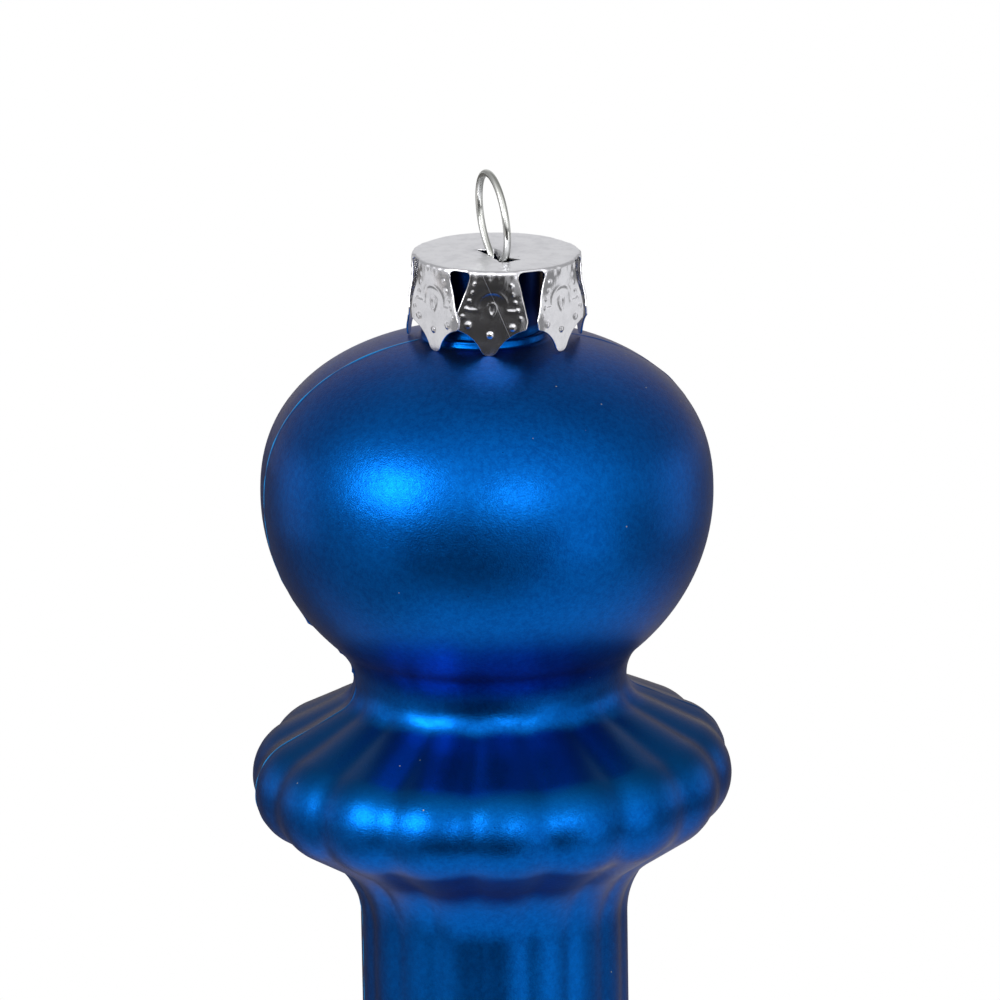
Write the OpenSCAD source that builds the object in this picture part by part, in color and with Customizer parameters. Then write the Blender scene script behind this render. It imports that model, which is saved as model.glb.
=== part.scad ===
// Blow-moulded finial ornament with a stamped petal cap and a wire hanger.
// The origin is the inside of the hanger's crown and +Z points up.

/* [Bulb] */
// How far the bulb's widest circle lies below the cap's top
bulb_drop = 28.96; // [28:0.1:31]
// Largest radius of the bulb
bulb_r = 26.9; // [26:0.1:28]
// Height of the dome above the widest circle, as if it closed at the axis
dome_h = 19.4; // [18.5:0.1:20.5]
// Fullness of the dome, where 2 is an ellipse and more is squarer
dome_fullness = 2.3; // [2.1:0.05:2.5]
// Depth of the bowl below the widest circle, as if it closed at the axis
bowl_h = 25.0; // [24:0.1:27]
// Where the bowl runs out into the waist, as an angle below the widest circle
bowl_end = 46.9; // [45:0.1:49]
// Thickness of the blown wall
wall = 1.0; // [0.8:0.05:1.2]

/* [Neck] */
// Outside radius of the neck
neck_r = 7.0; // [6.8:0.05:7.2]
// Outside radius of the collar at the foot of the neck
collar_r = 7.5; // [7.3:0.05:7.6]
// Height of the collar
collar_h = 0.9; // [0.7:0.05:1.1]
// Rounding of the neck's rim and of the collar
rim_round = 0.3; // [0.2:0.05:0.4]

/* [Waist and ring] */
// Radius of the hollow sweep from the bowl into the waist
waist_up_r = 6.0; // [5:0.1:7]
// Radius of the hollow sweep from the waist out to the ring
waist_down_r = 2.8; // [2.4:0.1:3.2]
// Slope of the ring's upper face below the horizontal
ring_top_slope = 27.2; // [25:0.1:30]
// Largest radius of the ring, over the crests of its flutes
ring_r = 28.8; // [28:0.1:29.5]
// Radius of the ring's rounded edge
ring_edge_r = 6.7; // [6:0.1:7.2]
// Slope of the ring's lower face below the horizontal
ring_low_slope = 32.6; // [30:0.1:35]

/* [Column and spire] */
// Radius of the column, over the crests of its flutes
column_r = 16.1; // [15.6:0.05:16.6]
// Radius of the hollow sweep from the ring into the column
column_sweep_r = 9.8; // [9:0.1:10.5]
// Straight length of the column below that sweep
column_h = 13.0; // [10:0.5:18]
// Length over which the spire would taper to its finest
spire_h = 78.0; // [60:0.5:85]
// Radius that the spire tapers toward
tip_r = 3.2; // [2.5:0.1:4]
// Fullness of the spire, where less is fuller
spire_power = 1.15; // [1:0.05:1.4]
// Share of the taper that comes before the rounded tip
spire_share = 0.93; // [0.85:0.01:0.96]

/* [Flutes] */
// Number of flutes round the ring, the column and the spire
flutes = 18; // [16:1:20]
// Turn of one valley from the front, toward the left
flute_turn = -6; // [-10:0.5:0]
// Depth of the valleys on the ring
ring_flute = 0.85; // [0.6:0.05:1]
// Depth of the valleys on the column
column_flute = 0.4; // [0.2:0.05:0.6]

/* [Cap] */
// Radius of the cap's round top
cap_r = 10.0; // [9.8:0.05:10.2]
// Number of petals
petals = 7; // [5:1:7]
// Thickness of the cap's sheet
sheet = 0.3; // [0.25:0.01:0.35]
// Outside radius of the bend from the top into each petal
bend_r = 0.75; // [0.6:0.05:0.8]
// Half width of a petal where it leaves the top
petal_root_w = 2.97; // [2.8:0.01:3.1]
// Half width of a petal at its shoulders
petal_shoulder_w = 4.35; // [4.2:0.01:4.4]
// Depth of the shoulders below the cap's top
shoulder_drop = 6.1; // [5.8:0.1:6.5]
// Height of the straight edge below each shoulder
petal_shoulder_h = 1.0; // [0.8:0.05:1.2]
// How far that edge draws in
petal_shoulder_in = 0.15; // [0.1:0.01:0.2]
// Height of the petals' tips above the foot of the collar
petal_clear = 0.05; // [0.05:0.05:0.5]
// Radius of a petal's rounded tip
petal_nose_r = 1.1; // [0.9:0.05:1.3]
// Radius of the hollow edge between a shoulder and the tip, in lengths of that edge
petal_flank = 1.18; // [1:0.02:1.6]
// How far the rim between two petals lies inside the round top
rim_in = 0.3; // [0.2:0.05:0.4]
// Outside radius of the roll of that rim
rim_roll = 0.6; // [0.5:0.05:0.8]
// Gap between the collar and the left petals, toward which the loose cap has slid
cap_play = 0.15; // [0.1:0.05:0.5]
// Turn of the front petal toward the left
cap_turn = -2; // [-5:0.5:5]

/* [Slot] */
// Centre of the slot and its dimple, from the cap's centre
slot_at = [0.15, -0.5]; // [-1:0.05:1]
// Clearance of the dimple pressed round the slot from the neck's rim
dimple_clear = 0.25; // [0.2:0.05:0.6]
// Depth of the dimple
dimple_h = 0.55; // [0.4:0.05:0.6]
// Length of the notch that the hanger's legs stand in, past each leg
slot_end = 0.9; // [0.8:0.05:1.1]
// Width of that notch at its middle
slot_w = 2.25; // [2:0.05:2.4]
// Length of the slit that the notch crosses
slit_l = 6.8; // [6:0.1:7.2]
// Width of the slit at its middle
slit_w = 1.1; // [0.9:0.05:1.3]
// Turn of the slit from the front view's line of sight
slit_turn = 54; // [45:1:60]

/* [Hanger] */
// How far the cap's top lies below the inside of the loop's crown
cap_drop = 9.04; // [8.8:0.02:9.4]
// Diameter of the hanger's wire
wire_d = 0.86; // [0.8:0.01:0.9]
// Radius of the loop, to the wire's centre line
loop_r = 4.25; // [4:0.05:4.5]
// Turn of the loop's plane from the front view's line of sight
loop_turn = 23; // [15:1:30]
// Distance between the two legs in the slot
leg_pitch = 4.1; // [3.9:0.05:4.2]
// Length of the springy leg ends below the neck
leg_tail = 11; // [8:0.5:13]
// Length of the inward hook at the end of a tail
hook_l = 3; // [2:0.5:4]
// Radius of the bend into a hook, to the wire's centre line
hook_bend = 1.2; // [1:0.1:1.4]
// Radius of the bend where a leg passes the slot
slot_bend = 1.0; // [0.8:0.1:1.2]
// Clearance of each leg from the foot of the neck's bore
leg_clear = 0.02; // [0:0.01:0.1]

/* [Hidden] */
$fn = 64;
wire_r = wire_d / 2;
wire_sides = 16;
function unit(v) = v / norm(v);
// Columns of the outer and of the inner skin
seg = 4;
cols = flutes * seg;
inner_cols = flutes * 2;
// Heights measured from the bulb's widest circle
equator = -cap_drop - bulb_drop;
neck_rim = bulb_drop - sheet;
dome_start = acos(pow(collar_r / bulb_r, dome_fullness / 2));
collar_foot = dome_h * pow(sin(dome_start), 2 / dome_fullness);
bore_foot = collar_foot - wall * 0.8;
// The flat petals meet the round top where their roots end
petal_dist = sqrt(cap_r * cap_r - petal_root_w * petal_root_w);
petal_h = bulb_drop - collar_foot - petal_clear;
cap_shift = petal_dist - sheet - collar_r - cap_play;
dimple_r = neck_r - wall - cap_shift - slot_at[0] - dimple_clear;
notch_l = leg_pitch + wire_d + 2 * slot_end;
// Distance of a leg's centre line from the axis where it grazes the bore
leg_reach = (neck_r - wall) * cos(90 / flutes) - wire_r * 1.12 - leg_clear;
// The bowl's last point, its outward direction, and the waist that follows from them
bowl_dir_raw = [cos(bowl_end) / bulb_r, -sin(bowl_end) / bowl_h];
bowl_dir = bowl_dir_raw / norm(bowl_dir_raw);
waist_up_c = [bulb_r * cos(bowl_end), -bowl_h * sin(bowl_end)] + waist_up_r * bowl_dir;
waist_r = waist_up_c[0] - waist_up_r;
waist_z = waist_up_c[1];
waist_down_c = [waist_r + waist_down_r, waist_z];
// The ring's edge is an arc that both sloping faces run into
ring_face = waist_down_c - waist_down_r * [sin(ring_top_slope), cos(ring_top_slope)];
ring_c_r = ring_r - ring_edge_r;
ring_rise = (ring_c_r + ring_edge_r * sin(ring_top_slope) - ring_face[0]) * tan(ring_top_slope);
ring_z = ring_face[1] - ring_rise - ring_edge_r * cos(ring_top_slope);
ring_c = [ring_c_r, ring_z];
low_face = ring_c + ring_edge_r * [sin(ring_low_slope), -cos(ring_low_slope)];
sweep_r = column_r + column_sweep_r * (1 - sin(ring_low_slope));
sweep_z = low_face[1] - (low_face[0] - sweep_r) * tan(ring_low_slope);
column_c = [column_r + column_sweep_r, sweep_z - column_sweep_r * cos(ring_low_slope)];
column_top = column_c[1];
column_end = column_top - column_h;

// A row of the profile is [radius, height, outward radius part, outward height part]
function turned_row(c, rad, a) = [c[0] + rad * cos(a), c[1] + rad * sin(a), cos(a), sin(a)];
// Rows along an arc from angle a0 to a1; a hollow arc has its centre outside and a negative radius
function arc_rows(c, rad, a0, a1, n) = [for (i = [1:n]) turned_row(c, rad, a0 + (a1 - a0) * i / n)];
function oval_row(rr, hh, full, a) =
    let (p = [rr * pow(cos(a), 2 / full), hh * pow(abs(sin(a)), 2 / full) * sign(a)])
    let (d = [pow(cos(a), 2 - 2 / full) / rr, pow(abs(sin(a)), 2 - 2 / full) * sign(a) / hh])
    [p[0], p[1], d[0] / norm(d), d[1] / norm(d)];
function spire_row(s) =
    let (r = tip_r + (column_r - tip_r) * pow(cos(90 * s), spire_power))
    let (slope = (s == 0) ? 0 : (column_r - tip_r) * spire_power * sin(90 * s) * PI / 2
        * pow(max(cos(90 * s), 0.02), spire_power - 1) / spire_h)
    [r, column_end - spire_h * s, 1 / norm([1, slope]), -slope / norm([1, slope])];

function dome_rows(n) = [for (i = [1:n]) oval_row(bulb_r, dome_h, dome_fullness, dome_start * (1 - i / n))];
function bowl_rows(n) = [for (i = [1:n]) oval_row(bulb_r, bowl_h, 2, -bowl_end * i / n)];
function spire_rows(n) = [for (i = [0:n]) spire_row(spire_share * i / n)];
// The rounded tip is an arc that carries on from the spire's last row
last_spire = spire_row(spire_share);
tip_arc_r = last_spire[0] / last_spire[2];
tip_c = [0, last_spire[1] - tip_arc_r * last_spire[3]];
tip_start = atan2(last_spire[3], last_spire[2]);
tip_z = tip_c[1] - tip_arc_r;
function tip_rows(n) = arc_rows(tip_c, tip_arc_r, tip_start, -90 + 12, n);

function body_rows(dn, bn, wn, rn, sn, cn, tn) = concat(
    dome_rows(dn), bowl_rows(bn),
    arc_rows(waist_up_c, -waist_up_r, -bowl_end * 1.02, 0, wn),
    arc_rows(waist_down_c, -waist_down_r, 0, 90 - ring_top_slope, wn),
    arc_rows(ring_c, ring_edge_r, 90 - ring_top_slope, ring_low_slope - 90, rn),
    arc_rows(column_c, -column_sweep_r, ring_low_slope - 90, 0, sn),
    spire_rows(cn), tip_rows(tn));

function smooth(x) = let (t = min(max(x, 0), 1)) t * t * (3 - 2 * t);
// Valley depth at a row: none on the bulb, full on the ring, shallow on the column
function flute_depth(row) =
    (row[1] > ring_z) ? ring_flute * smooth((waist_z + 1.5 - row[1]) / 7)
    : (row[1] > column_top) ? ring_flute + (column_flute - ring_flute) * smooth((ring_z - 4 - row[1]) / 10)
    : column_flute * min(1, row[0] / column_r) * smooth((row[0] - tip_r) / 4);
// Share of the valley depth at column k of n columns a flute
function flute_share(k, n) = pow((k % n) / n * 2 - 1, 2);
function skin_point(row, k, n, inset) =
    let (a = flute_turn + 360 * k / (flutes * n))
    let (d = inset + flute_depth(row) * flute_share(k, n))
    let (r = row[0] - d * row[2])
    [r * sin(a), -r * cos(a), row[1] - d * row[3]];
function ring_of(row, n, inset) = [for (k = [0:flutes * n - 1]) skin_point(row, k, n, inset)];

neck_rows = [
    [neck_r - rim_round, neck_rim, 0, 0],
    [neck_r, neck_rim - rim_round, 0, 0],
    [neck_r, collar_foot + collar_h, 0, 0],
    [collar_r - rim_round, collar_foot + collar_h, 0, 0],
    [collar_r, collar_foot + collar_h - rim_round, 0, 0],
    [collar_r, collar_foot, 0, 0]];
outer_rows = concat(neck_rows, body_rows(8, 7, 3, 8, 4, 8, 3));
bore_rows = [
    [neck_r - wall, neck_rim, 0, 0],
    [neck_r - wall, bore_foot, 0, 0]];
inner_rows = body_rows(5, 5, 2, 5, 2, 5, 1);

outer_n = len(outer_rows);
inner_n = len(inner_rows) + len(bore_rows);
outer_points = [for (row = outer_rows) each ring_of(row, seg, 0)];
bore_points = [for (row = bore_rows) each ring_of(row, 2, 0)];
inner_points = [for (row = inner_rows) each ring_of(row, 2, wall)];
inner_base = outer_n * cols;
tip_point = inner_base + inner_n * inner_cols;
function quad(a, b, c, d) = [[a, b, c], [a, c, d]];
outer_faces = [for (i = [0:outer_n - 2]) for (k = [0:cols - 1])
    let (k2 = (k + 1) % cols)
    each quad(i * cols + k, i * cols + k2, (i + 1) * cols + k2, (i + 1) * cols + k)];
inner_faces = [for (i = [0:inner_n - 2]) for (k = [0:inner_cols - 1])
    let (k2 = (k + 1) % inner_cols, b = inner_base + i * inner_cols)
    each quad(b + k2, b + k, b + inner_cols + k, b + inner_cols + k2)];
// The rim joins two outer columns to each inner one
rim_faces = [for (k = [0:inner_cols - 1])
    let (k2 = (k + 1) % inner_cols, o = 2 * k, o2 = (2 * k + 2) % cols)
    each [[inner_base + k, inner_base + k2, o + 1], [o, inner_base + k, o + 1], [o + 1, inner_base + k2, o2]]];
tip_faces = [for (k = [0:cols - 1])
    [(outer_n - 1) * cols + k, (outer_n - 1) * cols + (k + 1) % cols, tip_point]];
inner_tip_faces = [for (k = [0:inner_cols - 1])
    let (b = inner_base + (inner_n - 1) * inner_cols)
    [b + (k + 1) % inner_cols, b + k, tip_point + 1]];

module shell()
    color([0.05, 0.2, 0.55])
    translate([0, 0, equator])
    polyhedron(
        points = concat(outer_points, bore_points, inner_points,
            [[0, 0, tip_z], [0, 0, tip_z + wall]]),
        faces = concat(outer_faces, inner_faces, rim_faces, tip_faces, inner_tip_faces));

// Centre of a circle of radius rad through a and b, on the right of the way from a to b
function circle_through(a, b, rad) =
    let (d = b - a, h = sqrt(rad * rad - d * d / 4))
    (a + b) / 2 + h * [d[1], -d[0]] / norm(d);

// Side view of a petal: a lip of the top, the bend, and the flat petal going down
module petal_side() {
    translate([petal_dist - bend_r - sheet, -sheet]) square([sheet, sheet]);
    intersection() {
        difference() {
            translate([petal_dist - bend_r, -bend_r]) circle(bend_r);
            translate([petal_dist - bend_r, -bend_r]) circle(bend_r - sheet);
        }
        translate([petal_dist - bend_r, -bend_r]) square(bend_r);
    }
    translate([petal_dist - sheet, -petal_h]) square([sheet, petal_h - bend_r]);
}

// Front view of a petal: widening to its shoulders, then hollow flanks to a round nose
module petal_front() {
    nose_at = [0, petal_nose_r - petal_h];
    corner = [petal_shoulder_w - petal_shoulder_in, -shoulder_drop - petal_shoulder_h];
    nose_side = nose_at + petal_nose_r * [cos(20), -sin(20)];
    flank_r = petal_flank * norm(corner - nose_side);
    flank_c = circle_through(nose_side, corner, flank_r);
    translate(nose_at) circle(petal_nose_r);
    difference() {
        polygon([
            [-petal_root_w, sheet], [petal_root_w, sheet],
            [petal_shoulder_w, -shoulder_drop], corner, nose_side,
            [-nose_side[0], nose_side[1]], [-corner[0], corner[1]],
            [-petal_shoulder_w, -shoulder_drop]]);
        translate(flank_c) circle(flank_r);
        translate([-flank_c[0], flank_c[1]]) circle(flank_r);
    }
}

// One petal, hanging at the front of the cap's top
module petal()
    intersection() {
        rotate([90, 0, -90]) translate([0, 0, -petal_shoulder_w - sheet])
            linear_extrude(2 * (petal_shoulder_w + sheet)) petal_side();
        translate([0, -petal_dist + bend_r + sheet * 2, 0]) rotate([90, 0, 0])
            linear_extrude(2 * (bend_r + sheet * 2)) petal_front();
    }

// A lens: two circles of the same radius overlap by its width
module lens(length, width) {
    lens_r = (length * length + width * width) / (4 * width);
    intersection() {
        translate([lens_r - width / 2, 0]) circle(lens_r, $fn = 128);
        translate([width / 2 - lens_r, 0]) circle(lens_r, $fn = 128);
    }
}

// The slot is a slit, and across it the notch that the hanger's legs stand in
module slot_outline() {
    rotate(loop_turn) lens(notch_l, slot_w);
    rotate(slit_turn) lens(slit_l, slit_w);
}

// The dimple is a shallow cone of sheet set into the top
module dimple()
    rotate_extrude()
    polygon([
        [0, -dimple_h], [dimple_r * 0.35, -dimple_h], [dimple_r, 0],
        [dimple_r, -sheet], [dimple_r * 0.35, -dimple_h - sheet], [0, -dimple_h - sheet]]);

// The round top turns down in a small roll, which shows between the petals
module cap_top_side() {
    roll_at = cap_r - rim_in - rim_roll;
    translate([0, -sheet]) square([roll_at, sheet]);
    intersection() {
        translate([roll_at, -rim_roll]) difference() {
            circle(rim_roll);
            circle(rim_roll - sheet);
        }
        translate([roll_at, -rim_roll]) square(rim_roll);
    }
}

module cap_top_plate() {
    root = cap_r - petal_dist + bend_r;
    difference() {
        rotate_extrude() cap_top_side();
        for (i = [0:petals - 1])
            rotate(i * 360 / petals)
            translate([-petal_root_w, -cap_r - sheet, -rim_roll - sheet])
            cube([2 * petal_root_w, root + sheet, rim_roll + 2 * sheet]);
        rotate(-cap_turn) translate([slot_at[0], slot_at[1], -2 * sheet])
            cylinder(r = dimple_r, h = 3 * sheet);
    }
    rotate(-cap_turn) translate([slot_at[0], slot_at[1], 0]) dimple();
}

module cap()
    color([0.78, 0.78, 0.82])
    translate([cap_shift, 0, -cap_drop])
    rotate(cap_turn)
    difference() {
        union() {
            cap_top_plate();
            for (i = [0:petals - 1]) rotate(i * 360 / petals) petal();
        }
        rotate(-cap_turn) translate([slot_at[0], slot_at[1], -dimple_h - 2 * sheet])
            linear_extrude(dimple_h + 3 * sheet) slot_outline();
    }

// Stations [point, direction] round a corner at p, from direction u to v, on an arc of radius rad
function corner_stations(p, u, v, rad, skip, steps) =
    let (turn = acos(u * v), axis = unit(cross(u, v)), out = cross(u, axis))
    let (c = p - rad * tan(turn / 2) * u - rad * out)
    [for (j = [skip:steps]) let (a = turn * j / steps)
        [c + rad * (cos(a) * out + sin(a) * u), cos(a) * u - sin(a) * out]];

// Wire along a path of corners, where each corner is an arc of its own radius
module wire_path(points, bends, steps) {
    n = len(points);
    dirs = [for (i = [0:n - 2]) unit(points[i + 1] - points[i])];
    takes = concat([0], [for (i = [0:n - 3]) bends[i] * tan(acos(dirs[i] * dirs[i + 1]) / 2)], [0]);
    // Two arcs that meet share a station
    skips = [for (i = [0:n - 2]) (norm(points[i + 1] - points[i]) - takes[i] - takes[i + 1] < 0.01) ? 1 : 0];
    stations = concat(
        [[points[0], dirs[0]]],
        [for (i = [1:n - 2])
            each corner_stations(points[i], dirs[i - 1], dirs[i], bends[i - 1], skips[i - 1], steps[i - 1])],
        [[points[n - 1], dirs[n - 2]]]);
    m = len(stations);
    // The side direction is carried along the wire without twist
    sides = [for (i = 0, d = unit(cross(dirs[0], [0, 0, 1])); i < m;
        i = i + 1, d = (i < m) ? unit(d - (d * stations[i][1]) * stations[i][1]) : d) d];
    skin = [for (i = [0:m - 1]) for (k = [0:wire_sides - 1])
        let (a = 360 * k / wire_sides)
        stations[i][0] + wire_r * (cos(a) * sides[i] + sin(a) * cross(stations[i][1], sides[i]))];
    polyhedron(
        points = skin,
        faces = concat(
            [for (i = [0:m - 2]) for (k = [0:wire_sides - 1])
                let (k2 = (k + 1) % wire_sides, o = i * wire_sides)
                each quad(o + k2, o + k, o + wire_sides + k, o + wire_sides + k2)],
            [[for (k = [0:wire_sides - 1]) k]],
            [[for (k = [0:wire_sides - 1]) m * wire_sides - 1 - k]]));
}

// Corner where the line from a slot point, grazing the loop, meets the crown's level
function crown_corner(from, centre, side) =
    let (d = centre - from)
    let (a = atan2(d[1], d[0]) - side * asin(loop_r / norm(d)))
    from + [cos(a), sin(a)] * (d[1] + loop_r) / sin(a);

module hanger() {
    across = [sin(loop_turn), -cos(loop_turn), 0];
    slot_c = [cap_shift + slot_at[0], slot_at[1], -cap_drop - dimple_h - sheet / 2];
    // The loop lies in the plane through the slot's length and the origin
    skew = -slot_c * across;
    rise = norm(-slot_c - skew * across);
    up = (-slot_c - skew * across) / rise;
    loop_c = [skew, rise - loop_r + wire_r];
    corners = [for (s = [-1, 1]) crown_corner([s * leg_pitch / 2, 0], loop_c, s)];
    crown = [for (k = corners) slot_c + k[0] * across + k[1] * up];
    legs = [for (s = [-1, 1]) slot_c + s * leg_pitch / 2 * across];
    // Each leg grazes the foot of the neck's bore and goes on into the bulb
    graze = [for (s = [-1, 1]) s * leg_reach * across + [0, 0, bore_foot + equator]];
    tails = [for (i = [0, 1]) graze[i] + leg_tail * (graze[i] - legs[i]) / norm(graze[i] - legs[i])];
    hooks = [for (i = [0, 1]) tails[i] - hook_l * unit([tails[i][0], tails[i][1], hook_l * 0.8])];
    color([0.72, 0.73, 0.72])
    wire_path(
        [hooks[0], tails[0], legs[0], crown[0], crown[1], legs[1], tails[1], hooks[1]],
        [hook_bend, slot_bend, loop_r, loop_r, slot_bend, hook_bend],
        [5, 3, 12, 12, 3, 5]);
}

shell();
cap();
hanger();
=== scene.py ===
"""Looks of a blown finial ornament: satin blue shell, stamped petal cap and wire hanger.

All sizes and places in the classes are in millimetres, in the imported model's own frame. Noises
and cells have scales in repeats to a metre.
"""

import logging
import math
from dataclasses import dataclass
from enum import Enum

import bpy
import numpy as np
from mathutils import Matrix, Vector


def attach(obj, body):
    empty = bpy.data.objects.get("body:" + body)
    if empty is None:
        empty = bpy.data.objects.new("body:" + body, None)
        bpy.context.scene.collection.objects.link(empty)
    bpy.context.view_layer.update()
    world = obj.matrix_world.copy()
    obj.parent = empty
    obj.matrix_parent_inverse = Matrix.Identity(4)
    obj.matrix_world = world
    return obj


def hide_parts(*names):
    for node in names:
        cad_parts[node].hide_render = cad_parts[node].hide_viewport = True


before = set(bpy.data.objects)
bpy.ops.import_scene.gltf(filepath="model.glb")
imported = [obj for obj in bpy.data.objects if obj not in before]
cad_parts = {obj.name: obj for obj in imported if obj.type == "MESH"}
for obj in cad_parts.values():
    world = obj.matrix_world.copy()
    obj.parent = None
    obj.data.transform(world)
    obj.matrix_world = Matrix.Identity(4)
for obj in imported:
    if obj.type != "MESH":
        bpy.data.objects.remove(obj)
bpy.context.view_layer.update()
MM = 0.001
WHITE = (1.0, 1.0, 1.0, 1.0)
Array = np.ndarray
Material = bpy.types.Material
Pair = tuple[float, float]
Triple = tuple[float, float, float]
Quad = tuple[float, float, float, float]
Socket = bpy.types.NodeSocket
log = logging.getLogger("finial")


class Slot(Enum):
    """Material slots of the record."""

    SHELL = "shell_blue"
    CAP = "cap_silver"
    WIRE = "hanger_wire"


class Way(Enum):
    """Which way the faces of a grid are wound: the step through a face's points."""

    ALONG = 1
    AGAINST = -1


def smooth(x: Array) -> Array:
    """Smooth step: t * t * (3 - 2 t) with t = x held between 0 and 1."""
    t = np.clip(x, 0.0, 1.0)
    return t * t * (3.0 - 2.0 * t)


def bell(x: Array, width: float) -> Array:
    """Bell curve: exp(-(x / width) squared)."""
    return np.exp(-np.square(x / width))


def arc(centre: Array | Pair, rad: float, a0: float, a1: float, n: int) -> Array:
    """Rows along an arc: centre + rad (cos a, sin a), with the outward direction (cos a, sin a).

    A hollow arc has its centre outside the body and a negative radius.

    Args:
        centre: radius and height of the arc's centre.
        rad: radius of the arc, negative where it is hollow.
        a0: first angle in degrees, left out of the rows.
        a1: last angle in degrees.
        n: number of rows.

    Returns:
        Rows of radius, height, outward radius part and outward height part.
    """
    a = np.radians(a0 + (a1 - a0) * np.arange(1, n + 1) / n)
    return np.stack([centre[0] + rad * np.cos(a), centre[1] + rad * np.sin(a), np.cos(a), np.sin(a)], 1)


def line(p: Array | Pair, q: Array | Pair, n: int) -> Array:
    """Rows along a straight line from p to q, with p left out, facing right of the way down.

    Args:
        p: radius and height of the start.
        q: radius and height of the end.
        n: number of rows.

    Returns:
        Rows of radius, height, outward radius part and outward height part.
    """
    t = (np.arange(1, n + 1) / n)[:, None]
    d = np.subtract(q, p) / np.linalg.norm(np.subtract(q, p))
    face = np.broadcast_to([-d[1], d[0]], (n, 2))
    return np.hstack([np.add(p, t * np.subtract(q, p)), face])


def ring_faces(rows: int, cols: int, way: Way) -> list[list[int]]:
    """Quads between closed rings of points.

    Args:
        rows: number of rings.
        cols: number of points in a ring.
        way: winding of the faces.

    Returns:
        Four point numbers for each quad.
    """
    i, k = np.meshgrid(np.arange(rows - 1), np.arange(cols), indexing="ij")
    k2 = (k + 1) % cols
    quads = np.stack([i * cols + k, i * cols + k2, (i + 1) * cols + k2, (i + 1) * cols + k], axis=-1)
    return quads.reshape(-1, 4)[:, ::way.value].tolist()


def tube_faces(rows: int, cols: int, way: Way) -> list[list[int]]:
    """Faces of a closed tube: quads between its rings, and a fan at each end.

    The fans meet in two points that follow the rings' points, first end first.

    Args:
        rows: number of rings.
        cols: number of points in a ring.
        way: winding of the faces.

    Returns:
        Three or four point numbers for each face.
    """
    k = np.arange(cols)
    k2, last, end = (k + 1) % cols, (rows - 1) * cols, np.full(cols, rows * cols)
    fans = np.vstack([np.stack([end, k2, k], 1), np.stack([end + 1, last + k, last + k2], 1)])
    return ring_faces(rows, cols, way) + fans[:, ::way.value].tolist()


def add_object(name: str, data: bpy.types.ID) -> bpy.types.Object:
    """Puts an object with the given mesh, lamp or camera into the scene.

    Args:
        name: the object's name.
        data: its mesh, lamp or camera.

    Returns:
        The object.
    """
    thing = bpy.data.objects.new(name, data)
    bpy.context.scene.collection.objects.link(thing)
    return thing


def make_piece(name: str, points: Array, faces: list[list[int]], material: Material,
               node: str, marks: tuple[str, Array] | None = None) -> bpy.types.Object:
    """Puts points and faces into a smooth mesh object that stands for a CAD node.

    Args:
        name: the piece's name.
        points: points in millimetres, three numbers each.
        faces: lists of point numbers.
        material: the piece's material.
        node: the CAD node that it replaces.
        marks: name and values, three for each point, of an attribute that the material reads.

    Returns:
        The new object, riding on the root body.
    """
    mesh = bpy.data.meshes.new(name)
    mesh.from_pydata((points.reshape(-1, 3) * MM).tolist(), [], faces)
    mesh.validate()
    mesh.shade_smooth()
    if marks is not None:
        mark, values = marks
        mesh.attributes.new(mark, "FLOAT_VECTOR", "POINT").data.foreach_set("vector", values.ravel())
    mesh.materials.append(material)
    piece = add_object(name, mesh)
    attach(piece, "root")
    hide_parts(node)
    log.info("%s: %d points, %d faces", name, len(mesh.vertices), len(mesh.polygons))
    return piece


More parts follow.
